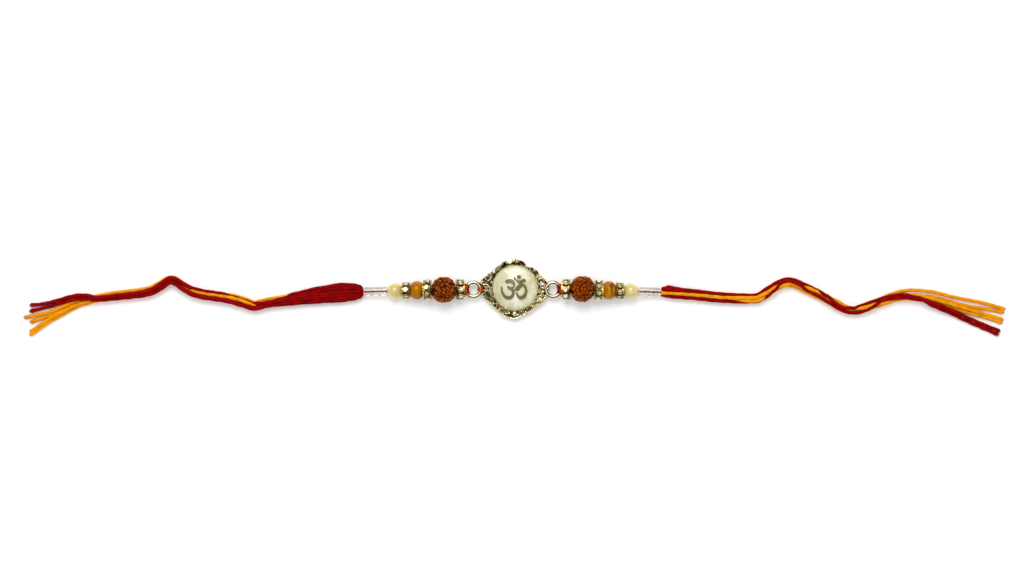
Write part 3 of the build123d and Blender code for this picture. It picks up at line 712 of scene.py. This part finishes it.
def outline_at(turns):
    """Reach of the casting's outline at each turn, smooth through the listed rows"""
    rows = np.array(outline_rows)
    places, shares = np.vstack([rows[-2:] - (360, 0), rows, rows[:2] + (360, 0)]).T
    slopes = np.append(0, (shares[2:] - shares[:-2]) / (places[2:] - places[:-2]))
    low = np.searchsorted(places, turns) - 1
    span = places[low + 1] - places[low]
    t = (turns - places[low]) / span
    return longest_reach * (
        (2 * t**3 - 3 * t**2 + 1) * shares[low] + (t**3 - 2 * t**2 + t) * slopes[low] * span
        + (-2 * t**3 + 3 * t**2) * shares[low + 1] + (t**3 - t**2) * slopes[low + 1] * span
    )


def field(scale, seed):
    """Smooth noise over the casting"""
    values = [noise.noise(Vector((a * scale, b * scale, seed))) for a, b in zip(x.flat, y.flat)]
    return np.array(values).reshape(x.shape)


def arch(share):
    """Height of a round form, 1 over its middle and 0 at its edge, by share of the way out"""
    return np.sqrt(np.clip(1 - share * share, 0, 1))


def bulge(radius, distance):
    """Height of a ball or wire of this radius at a distance from its middle"""
    return np.sqrt(np.clip(radius * radius - distance * distance, 0, None))


def lay(form, inside, shade):
    """Lays a form and its tone over the casting, where it stands above what is there"""
    over = inside & (form > height)
    np.copyto(height, form, where=over)
    np.copyto(tone, shade, where=over)


turn_count, reach_count = 900, 64
seat, seat_level = 6.52, 1.0
turns = np.arange(turn_count) * 360 / turn_count
ways = np.radians(turns)[:, None]
outline = outline_at(turns)[:, None]
reach = seat + (outline - seat) * np.linspace(0, 1, reach_count)
x = reach * np.cos(ways)
y = reach * np.sin(ways)

# Ragged ground
ridges = np.clip(1 - np.abs(field(2.1, 9)) * 4, 0, 1) ** 1.5
height = 1.2 + 0.32 * ridges
tone = 0.08 + 0.5 * ridges
for along, across, length, width, turn, top, ribs, hollow, shade in leaf_rows:
    angle = math.radians(turn)
    u = ((x - along) * math.cos(angle) + (y - across) * math.sin(angle)) / (length * 0.54)
    v = (-(x - along) * math.sin(angle) + (y - across) * math.cos(angle)) / (width * 0.58)
    v = v / np.maximum(1 - 0.45 * u * u, 0.3)
    spread = u * u + v * v
    form = 1.0 + (top - 1.0) * np.clip(1 - spread, 0, 1) ** 0.35
    form = form - hollow * np.clip(1 - spread * 1.7, 0, 1)
    if ribs:
        form = form + 0.16 * np.sin(u * ribs * math.pi + np.abs(v) * 2.2) * np.clip(1 - spread, 0, 1) ** 0.3
        form = form - 0.18 * np.exp(-(v / 0.16) ** 2)
    # Each leaf's tone rises to full brightness towards its edge: a painted highlight along the leaf's rim
    lay(form, spread < 1, shade + (1 - shade) * np.clip((spread - 0.34) / 0.3, 0, 1))
for along, across, radius, top, *dimple in grain_rows:
    distance = np.hypot(x - along, y - across)
    pit = np.clip(1 - (distance / dimple[0]) ** 2, 0, 1) if dimple else 0.0
    lay(top - radius + bulge(radius, distance) - 0.9 * pit, distance < radius, 0.92 - 0.7 * pit)
for points, radius, middle, rope in wire_rows:
    wire = evenly(nurbs_line([(a * mm, b * mm, 0) for a, b in points]), 0.25 * mm)
    run = 0.0
    for start, end in zip(wire, wire[1:]):
        ax, ay = start.x / mm, start.y / mm
        dx, dy = end.x / mm - ax, end.y / mm - ay
        long = math.hypot(dx, dy)
        share = np.clip(((x - ax) * dx + (y - ay) * dy) / (long * long), 0, 1)
        px, py = x - ax - share * dx, y - ay - share * dy
        distance = np.hypot(px, py)
        form = middle + bulge(radius, distance)
        if rope:
            lean = (px * dy - py * dx) / long
            form = form + 0.09 * np.sin(full_turn * rope * (run + share * long) + lean * 5)
        lay(form, distance < radius, 0.95)
        run += long

# Uneven outer rim, collar round the stone, tint and rounded edge
edge = outline - reach
ripple = field(1.7, 3)
rim_middle = 0.30
rim_radius = 0.27 + 0.09 * field(0.9, 14)
rim = 1.62 + 0.35 * field(0.6, 21) + bulge(rim_radius, edge - rim_middle)
lay(rim, np.abs(edge - rim_middle) < rim_radius, 0.9)
height += 0.10 * ripple
collar = 1.95 + 0.16 * np.sin(ways * 23) + 0.35 * ripple - ((reach - seat - 0.16) / 0.26) ** 2 * 0.35
lay(collar, reach - seat < 0.42, 0.7 + 0.3 * ripple)
tinted_turns = np.array([keyed(tint_rows, turn) for turn in turns])
tint = tinted_turns[:, :1] + 0.5 * field(0.5, 31)
tone *= tinted_turns[:, 1:]
rounding, edge_level = 0.14, 0.75
height -= (height - edge_level) * (1 - arch(np.clip(1 - edge / rounding, 0, 1)))

# Rings of points from the stone's seat over the relief and down the side: inset from the outline, level
side_rings = [(0.0, 0.45), (0.0, 0.25), (0.12, 0.06), (0.3, 0.0)]
ring_reaches = np.hstack([np.full_like(ways, seat), reach] + [outline - inset for inset, _ in side_rings]).T
ring_levels = np.hstack(
    [np.full_like(ways, seat_level), height] + [np.full_like(ways, level) for _, level in side_rings]
).T
ring_points = [ring_reaches * np.cos(ways.T), ring_reaches * np.sin(ways.T), ring_levels]
vertices = (np.stack(ring_points, axis=-1) * mm).reshape(-1, 3).tolist()
faces = [corners[::-1] for corners in quads(0, len(ring_levels), turn_count)]
lowest = len(vertices) - turn_count
vertices += [(0, 0, seat_level * mm), (0, 0, 0)]
for row in range(turn_count):
    after = (row + 1) % turn_count
    faces += [(row, after, len(vertices) - 2), (lowest + after, lowest + row, len(vertices) - 1)]

# Side rings with the solder that holds them
ring_radius, ring_wire = 2.05, 0.5
ring_steps, ring_sides = 96, 20
ring_places = {"left": (-12.05, -0.4, 2.1), "right": (11.0, -0.4, 2.1)}
solder_places = ((-10.15, -0.4, 1.55), (9.25, -0.4, 1.55))
solder_radii = (0.75, 0.85, 0.85)
solder_rows, solder_columns = 16, 28
for centre in ring_places.values():
    first = len(vertices)
    for step in range(ring_steps):
        angle = full_turn * step / ring_steps
        for corner in range(ring_sides):
            lean = full_turn * corner / ring_sides
            along = ring_radius + ring_wire * math.cos(lean)
            vertices.append((
                (centre[0] + along * math.cos(angle)) * mm, (centre[1] + along * math.sin(angle)) * mm,
                (centre[2] + ring_wire * math.sin(lean)) * mm,
            ))
    faces += [(a, d, c, b) for a, b, c, d in quads(first, ring_steps, ring_sides, closed=True)]
for centre in solder_places:
    first = len(vertices)
    for row in range(solder_rows + 1):
        lift = math.pi * row / solder_rows - math.pi / 2
        for column in range(solder_columns):
            angle = full_turn * column / solder_columns
            way = Vector((math.cos(lift) * math.cos(angle), math.cos(lift) * math.sin(angle), math.sin(lift)))
            uneven = 1 + 0.08 * noise.noise(way * 1.6 + Vector(centre))
            vertices.append([(centre[i] + solder_radii[i] * way[i] * uneven) * mm for i in range(3)])
    faces += quads(first, solder_rows + 1, solder_columns)
casting = piece_from("pendant_casting", vertices, faces)
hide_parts("pendant_frame")
levels = np.array([vertex[2] for vertex in vertices]) / mm
# Off the relief the tone follows height: above 1.2 mm it is dark and turns bright only near the top, a
# painted highlight along the tops of the side rings and solder; lower down it stays at 0.8
painted_height_tone = np.where(levels > 1.2, 0.2 + 0.52 * np.clip((levels - 2.28) / 0.3, 0, 1), 0.8)
for label, values, plain in (("tone", tone, painted_height_tone), ("tint", tint, np.full(levels.size, 0.75))):
    plain[turn_count:turn_count + values.size] = values.T.ravel()
    set_values(casting, label, np.clip(plain, 0, 1).astype(np.float32))

silver = Look("aged_silver_painted_light")
level = silver.speckled(silver.stored("tone"), 0.4, silver.noise(700, 3))
metal = silver.mix(silver.stored("tint"), (236, 231, 218), (240, 222, 164))
# The tone ramp gives dark patina in the hollows and bright raised metal, and it also carries the painted
# highlights on leaf edges and along the tops of the side rings and solder
patina_and_painted_light = silver.ramp(level, [
    (0.1, (34, 33, 19)), (0.36, (112, 110, 84)), (0.6, (196, 193, 166)), (0.8, (255, 255, 255)),
])
silver.shade(
    Base_Color=silver.mix(1.0, metal, patina_and_painted_light, "MULTIPLY"),
    Roughness=silver.ramp(level, [(0.15, 0.5), (0.5, 0.3), (0.85, 0.18)]),
    Metallic=1.0,
)
silver.bump(silver.noise(1400, 3), 0.25, 0.00008)
dress(casting, silver)

# Seed beads: lobed, with wandering folds between rough knobs, and painted shade in the folds, grooves, bore
# and at both ends
husk = Look("seed")
grain = husk.noise(1500, 4, 0.6)
body = husk.mix(husk.noise(500, 2), (132, 50, 2), (182, 82, 8))
# Near-black painted shade over the seed's colour, where the stored painted shade is high
painted_shade_share = husk.ramp(husk.speckled(husk.stored("painted_shade"), 0.3, grain), [(0.16, 0.0), (0.7, 1.0)])
husk.shade(
    Base_Color=husk.mix(painted_shade_share, body, (40, 9, 0)),
    Roughness=husk.ramp(grain, [(0.3, 0.5), (0.7, 0.32)]),
    Specular_IOR_Level=0.35, Specular_Tint=(1.0, 0.45, 0.12, 1),
)
husk.bump(grain, 0.35, 0.00012)
lobe_turn = full_turn / 5
half_length, half_width, flat_end = 3.68, 3.86, 3.46
bluntness = 2.3
for side, start in (("left", 3.0), ("right", 11.0)):
    low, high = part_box(f"rudraksha_{side}")
    centre = (Vector(low) + Vector(high)) / 2
    grid = bmesh.new()
    bmesh.ops.create_icosphere(grid, subdivisions=7, radius=1)
    painted_shades = []
    vertices = []
    for vertex in grid.verts:
        way = vertex.co.normalized()
        side_on = max(1 - way.x * way.x, 0)
        around_x = math.atan2(way.z, way.y)
        warp = noise.noise_vector(way * 2.2 + Vector((start, 0, 0))) * 0.5
        spots, _ = noise.voronoi((way + warp * 0.5) * 4.0 + Vector((start, start, 0)))
        crease = max(0.0, 1 - (spots[1] - spots[0]) / 0.48) ** 2
        dome = min(1.0, (spots[0] / 0.82) ** 2)
        wobble = 0.35 * noise.noise(Vector((way.x * 3, start, around_x)))
        lobe_share = ((around_x + wobble) / lobe_turn + 0.75) % 1
        groove = max(0.0, 1 - abs(lobe_share - 0.5) * lobe_turn * math.sqrt(side_on) / 0.085)
        hole = max(0.0, 1 - math.hypot(way.y, way.z) / 0.24)
        rough = noise.noise(way * 14 + Vector((start, 0, 0)))
        broad = noise.noise(way * 2.4 + Vector((0, start, 0)))
        sink = 0.34 * crease + 0.30 * dome + 0.32 * groove + 0.06 * rough + 0.10 * broad + 0.9 * hole
        blunt = (abs(way.x) ** bluntness + side_on ** (bluntness / 2)) ** (-1 / bluntness)
        long, wide = half_length * blunt - sink, half_width * min(blunt, 1.02) - sink
        along = max(-flat_end, min(flat_end, way.x * long))
        vertices.append(centre + Vector((along, way.y * wide, way.z * wide)) * mm)
        # The seed is painted darker in its creases, lobe grooves, round each knob, at the bore and towards
        # both ends: painted shade
        end_shade = 0.55 * max(0.0, (abs(way.x) - 0.78) / 0.22)
        painted_shades.append(min(1.0, 0.75 * max(crease, groove) + 0.25 * dome + 0.6 * hole + end_shade))
    grid.verts.index_update()
    faces = [[corner.index for corner in face.verts] for face in grid.faces]
    grid.free()
    seed = piece_from(f"seed_{side}", vertices, faces)
    set_values(seed, "painted_shade", painted_shades)
    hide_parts(f"rudraksha_{side}")
    dress(seed, husk)

# Stringing threads: a red and an orange thread twisted together, and their wrap round the side ring
string_routes = {
    "left": [(-0.0147, -0.0004, 0.00302), (-0.0206, -0.0004, 0.00385), (-0.04383, -0.0011, 0.00142)],
    "right": [(0.0137, -0.0004, 0.00302), (0.0195, -0.0004, 0.00385), (0.04241, -0.00125, 0.00142)],
}
thread_step, thread_pitch, thread_shift = 0.12, 2.4, 0.15
thread_sides = 10
coil_steps, coil_radius = 40, 0.63
arc_steps, arc_half_turn = 24, 37
wrap_half_turn = 36


def wrap_loops(parts, ring_centre, facing, half_turn, count):
    """Adds turns of thread round a side ring's wire, spread in degrees to both sides of where it faces"""
    for loop in range(count):
        turn = facing + math.radians(half_turn * (2 * loop / (count - 1) - 1))
        out = spoke(Vector((1, 0, 0)), Vector((0, 1, 0)), turn)
        middle = Vector(ring_centre) * mm + out * (ring_radius * mm)
        lean = chance.uniform(-0.12, 0.12)
        coil = []
        for step in range(coil_steps + 1):
            angle = full_turn * step / coil_steps
            slide = Vector((-out.y, out.x, 0)) * (lean * math.sin(angle) * mm)
            coil.append(middle + spoke(out, up, angle) * (coil_radius * mm) + slide)
        twisted(parts, coil, lambda share, run: 0.145, 2, 0.8, thread_sides, loop)


for side, ring_centre in ring_places.items():
    string = evenly([Vector(point) for point in string_routes[side]], thread_step * mm)
    facing = math.pi if side == "left" else 0.0
    for colour, look, phase in (("red", yarn_looks["red"], 0.0), ("orange", orange_look, math.pi)):
        parts = ([], [], [])
        line = []
        for index, (point, (_, one, two)) in enumerate(zip(string, frames_along(string))):
            angle = phase + full_turn * index * thread_step / thread_pitch
            line.append(point + spoke(one, two, angle) * (thread_shift * mm))
        twisted(parts, line, lambda share, run: 0.15, 2, 0.9, thread_sides, phase)
        if colour == "red":
            wrap_loops(parts, ring_centre, facing, wrap_half_turn, 11)
        elif side == "left":
            wrap_loops(parts, ring_centre, 0.0, 14, 4)
        for strand in range(0 if colour == "red" else 6 if side == "left" else 2):
            arc = []
            lift = math.radians(12 + 15 * strand)
            for step in range(arc_steps + 1):
                turn = facing + math.radians(arc_half_turn * (2 * step / arc_steps - 1))
                along = ring_radius + 0.78 * math.sin(lift) + 0.02 * math.sin(step * 0.9 + strand)
                level = ring_centre[2] + 0.86 * math.cos(lift) + 0.03 * math.sin(step * 0.7 + strand * 2)
                arc.append(Vector((
                    (ring_centre[0] + along * math.cos(turn)) * mm,
                    (ring_centre[1] + along * math.sin(turn)) * mm, level * mm,
                )))
            twisted(parts, arc, lambda share, run: 0.13, 2, 0.8, thread_sides, strand)
        thread = piece_from(f"string_{colour}_{side}", *parts)
        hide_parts(f"bead_thread_{side}")
        dress(thread, look)

# Stone: milky, clouded and finely crackled, with a clear polish, two painted highlights and painted shade
# round its rim
stone = Look("milky_stone")
cloud = stone.noise(210, 4, 0.6, distortion=0.6)
ripples = stone.node("ShaderNodeTexNoise", {}, {"Scale": 520.0}).outputs["Color"]
bent = stone.node("ShaderNodeMix", {"data_type": "VECTOR"}, {0: 0.0016, 4: stone.place(), 5: ripples})
veins = stone.cells(640, "DISTANCE_TO_EDGE", bent.outputs[1])["Distance"]
milky = stone.ramp(cloud, [(0.34, (198, 195, 154)), (0.5, (214, 211, 175)), (0.66, (238, 236, 213))])
# Painted light on the stone: a painted highlight below the emblem's middle, another near the top of the dome,
# and painted shade round the rim
painted_light_rows = [
    ((0, -0.0029, 0.0046), 0.0038, [(0.12, 0.9), (0.55, 0.25), (1.0, 0.0)], (252, 251, 240)),
    ((0.0002, 0.0048, 0.0038), 0.003, [(0.2, 0.5), (1.0, 0.0)], (250, 249, 236)),
    ((0, 0, 0.0025), 0.0066, [(0.82, 0.0), (1.0, 0.5)], (176, 172, 124)),
]
for point, reach, stops, colour in painted_light_rows:
    milky = stone.mix(stone.ramp(stone.near(point, reach), stops), milky, colour)
stone.shade(
    Base_Color=stone.mix(stone.ramp(veins, [(0.0, 0.2), (0.06, 0.0)]), milky, (250, 248, 232)),
    Roughness=stone.ramp(cloud, [(0.3, 0.12), (0.7, 0.07)]),
    Subsurface_Weight=0.3, Subsurface_Scale=0.0012, Subsurface_Radius=(1.0, 1.0, 0.8),
    Coat_Weight=0.45, Coat_Roughness=0.03,
)
stone.bump(cloud, 0.05, 0.0001)
dress("cabochon", stone)

emblem = grained_look(
    "olive_emblem", 900, 3, ((88, 84, 42), (118, 112, 64)), (0.55, 0.42), (0.2, 0.00005),
    Coat_Weight=0.1, Coat_Roughness=0.2, Specular_IOR_Level=0.3,
)
dress("om_emblem", emblem)
dress("om_dot", emblem)


# Spacer rings and their cut stones
def gold_look(name):
    """Gold-toned metal of one spacer ring, with painted shade darkening the channel between its two discs"""
    low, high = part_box(name)
    look = Look(f"gold_{name}")
    tarnish = look.noise(800, 3)
    off = look.maths("SUBTRACT", look.split(look.place())["X"], (low[0] + high[0]) / 2)
    share = look.maths("DIVIDE", look.maths("ABSOLUTE", off), high[0] - low[0])
    bright = look.ramp(tarnish, [(0.25, (182, 146, 58)), (0.5, (222, 192, 104)), (0.7, (242, 222, 152))])
    # Painted shade: the darker gold in the channel between the discs
    painted_channel_shade = look.ramp(tarnish, [(0.3, (92, 70, 18)), (0.7, (156, 126, 48))])
    look.shade(
        Base_Color=look.mix(look.ramp(share, [(0.28, 1.0), (0.34, 0.0)]), bright, painted_channel_shade),
        Roughness=look.ramp(tarnish, [(0.3, 0.34), (0.7, 0.16)]),
        Metallic=1.0,
    )
    look.bump(look.noise(1800, 2), 0.15, 0.00004)
    return look


crystal = Look("foiled_crystal")
# Small cells from dark to near-white: painted reflections and sparkle in place of light off the stones'
# facets
painted_sparkle_cells = crystal.node("ShaderNodeSeparateColor", {}, {"Color": crystal.cells(1900, "F1")["Color"]}).outputs
crystal.shade(
    Base_Color=crystal.ramp(painted_sparkle_cells["Red"], [
        (0.12, (102, 86, 34)), (0.38, (170, 158, 100)), (0.62, (226, 218, 176)), (1.0, (255, 253, 232)),
    ]),
    Roughness=crystal.ramp(painted_sparkle_cells["Green"], [(0.2, 0.03), (0.9, 0.12)]),
    Metallic=0.5, Coat_Weight=1.0, Coat_Roughness=0.02,
)
for side in sides:
    for place in ("inner", "middle", "outer"):
        dress(f"rondelle_{place}_{side}", gold_look(f"rondelle_{place}_{side}"))
        dress(f"stones_{place}_{side}", crystal)


# Ochre, pearl and glass beads
def ochre_look(side, streak):
    """Glossy yellow-brown bead with a brown streak across it, at a share of its length, where it has one"""
    look = Look(f"ochre_gloss_{side}")
    clouds = look.noise(300, 4, 0.6, distortion=1.6)
    colour = look.ramp(clouds, [(0.3, (104, 52, 0)), (0.48, (160, 97, 0)), (0.7, (188, 126, 4))])
    if streak:
        low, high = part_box(f"ochre_bead_{side}")
        middle = low[0] + (high[0] - low[0]) * streak
        off = look.maths("SUBTRACT", look.split(look.place())["X"], middle)
        gap = look.maths("ABSOLUTE", look.speckled(off, 0.0022, look.noise(260, 3)))
        line = look.ramp(look.maths("DIVIDE", gap, mm), [(0.05, 0.8), (0.34, 0.0)])
        colour = look.mix(line, colour, (84, 38, 4))
    look.shade(
        Base_Color=colour, Roughness=look.ramp(clouds, [(0.3, 0.3), (0.7, 0.18)]),
        Coat_Weight=0.16, Coat_Roughness=0.05, Specular_IOR_Level=0.3, Specular_Tint=(1.0, 0.66, 0.2, 1),
    )
    look.bump(clouds, 0.12, 0.00008)
    return look


pearl = grained_look(
    "cream_pearl", 320, 3, ((196, 176, 100), (222, 207, 140)), (0.3, 0.22), (0.06, 0.00005),
    Coat_Weight=0.8, Coat_Roughness=0.07, Subsurface_Weight=0.2, Subsurface_Scale=0.0008, Sheen_Weight=0.2,
)
glass = grained_look(
    "clear_glass", 900, 2, ((0.85, 0.80, 0.74, 1), (0.94, 0.90, 0.87, 1)), (0.02, 0.06), (0.1, 0.00006),
    Transmission_Weight=1.0, IOR=1.34,
)
for side, streak in (("left", 0), ("right", 0.66)):
    dress(f"ochre_bead_{side}", ochre_look(side, streak))
    dress(f"pearl_{side}", pearl)
    for number in (1, 2, 3):
        dress(f"glass_bead_{number}_{side}", glass)

# Floor
floor_mesh = bpy.data.meshes.new("floor")
floor_mesh.from_pydata([(-2, -2, 0), (2, -2, 0), (2, 2, 0), (-2, 2, 0)], [], [(0, 1, 2, 3)])
floor = bpy.data.objects.new("floor", floor_mesh)
floor.location.z = -0.00002
bpy.context.collection.objects.link(floor)
paper = Look("floor")
paper.shade(
    Base_Color=paper.ramp(paper.noise(6, 2), [(0.3, (0.93, 0.928, 0.925, 1)), (0.7, (0.95, 0.95, 0.95, 1))]),
    Roughness=0.9, Specular_IOR_Level=0.1, Emission_Color=(1, 1, 1, 1), Emission_Strength=0.08,
)
dress(floor, paper)

# Light: a bright even sky with a darker band for the metal to reflect, and a soft lamp towards +Y
world = bpy.data.worlds.new("sky")
bpy.context.scene.world = world
world.use_nodes = True
sky = Nodes(world.node_tree)
rise = sky.split(sky.node("ShaderNodeTexCoord", {}, {}).outputs["Generated"])["Z"]
band_rows = [(0.0, 0.6), (0.2, 0.10), (0.65, 0.06), (0.86, 0.26), (0.95, 1.4)]
band = sky.ramp(rise, [(place, (value, value, value * 0.99, 1)) for place, value in band_rows])
rays = sky.node("ShaderNodeLightPath", {}, {}).outputs
mirrored = sky.maths("SUBTRACT", rays["Is Glossy Ray"], rays["Is Transmission Ray"], clamp=True)
sky.set(sky.tree.nodes["Background"], "Color", sky.mix(mirrored, 0.80, band))

lamp_data = bpy.data.lights.new("key", "AREA")
lamp_data.shape = "SQUARE"
lamp_data.size = 0.5
lamp_data.energy = 4.7
lamp = bpy.data.objects.new("key", lamp_data)
lamp.location = (-0.10, 0.50, 0.80)
lamp.rotation_euler = lamp.location.to_track_quat("Z", "Y").to_euler()
bpy.context.collection.objects.link(lamp)
bpy.context.scene.view_settings.view_transform = "Standard"
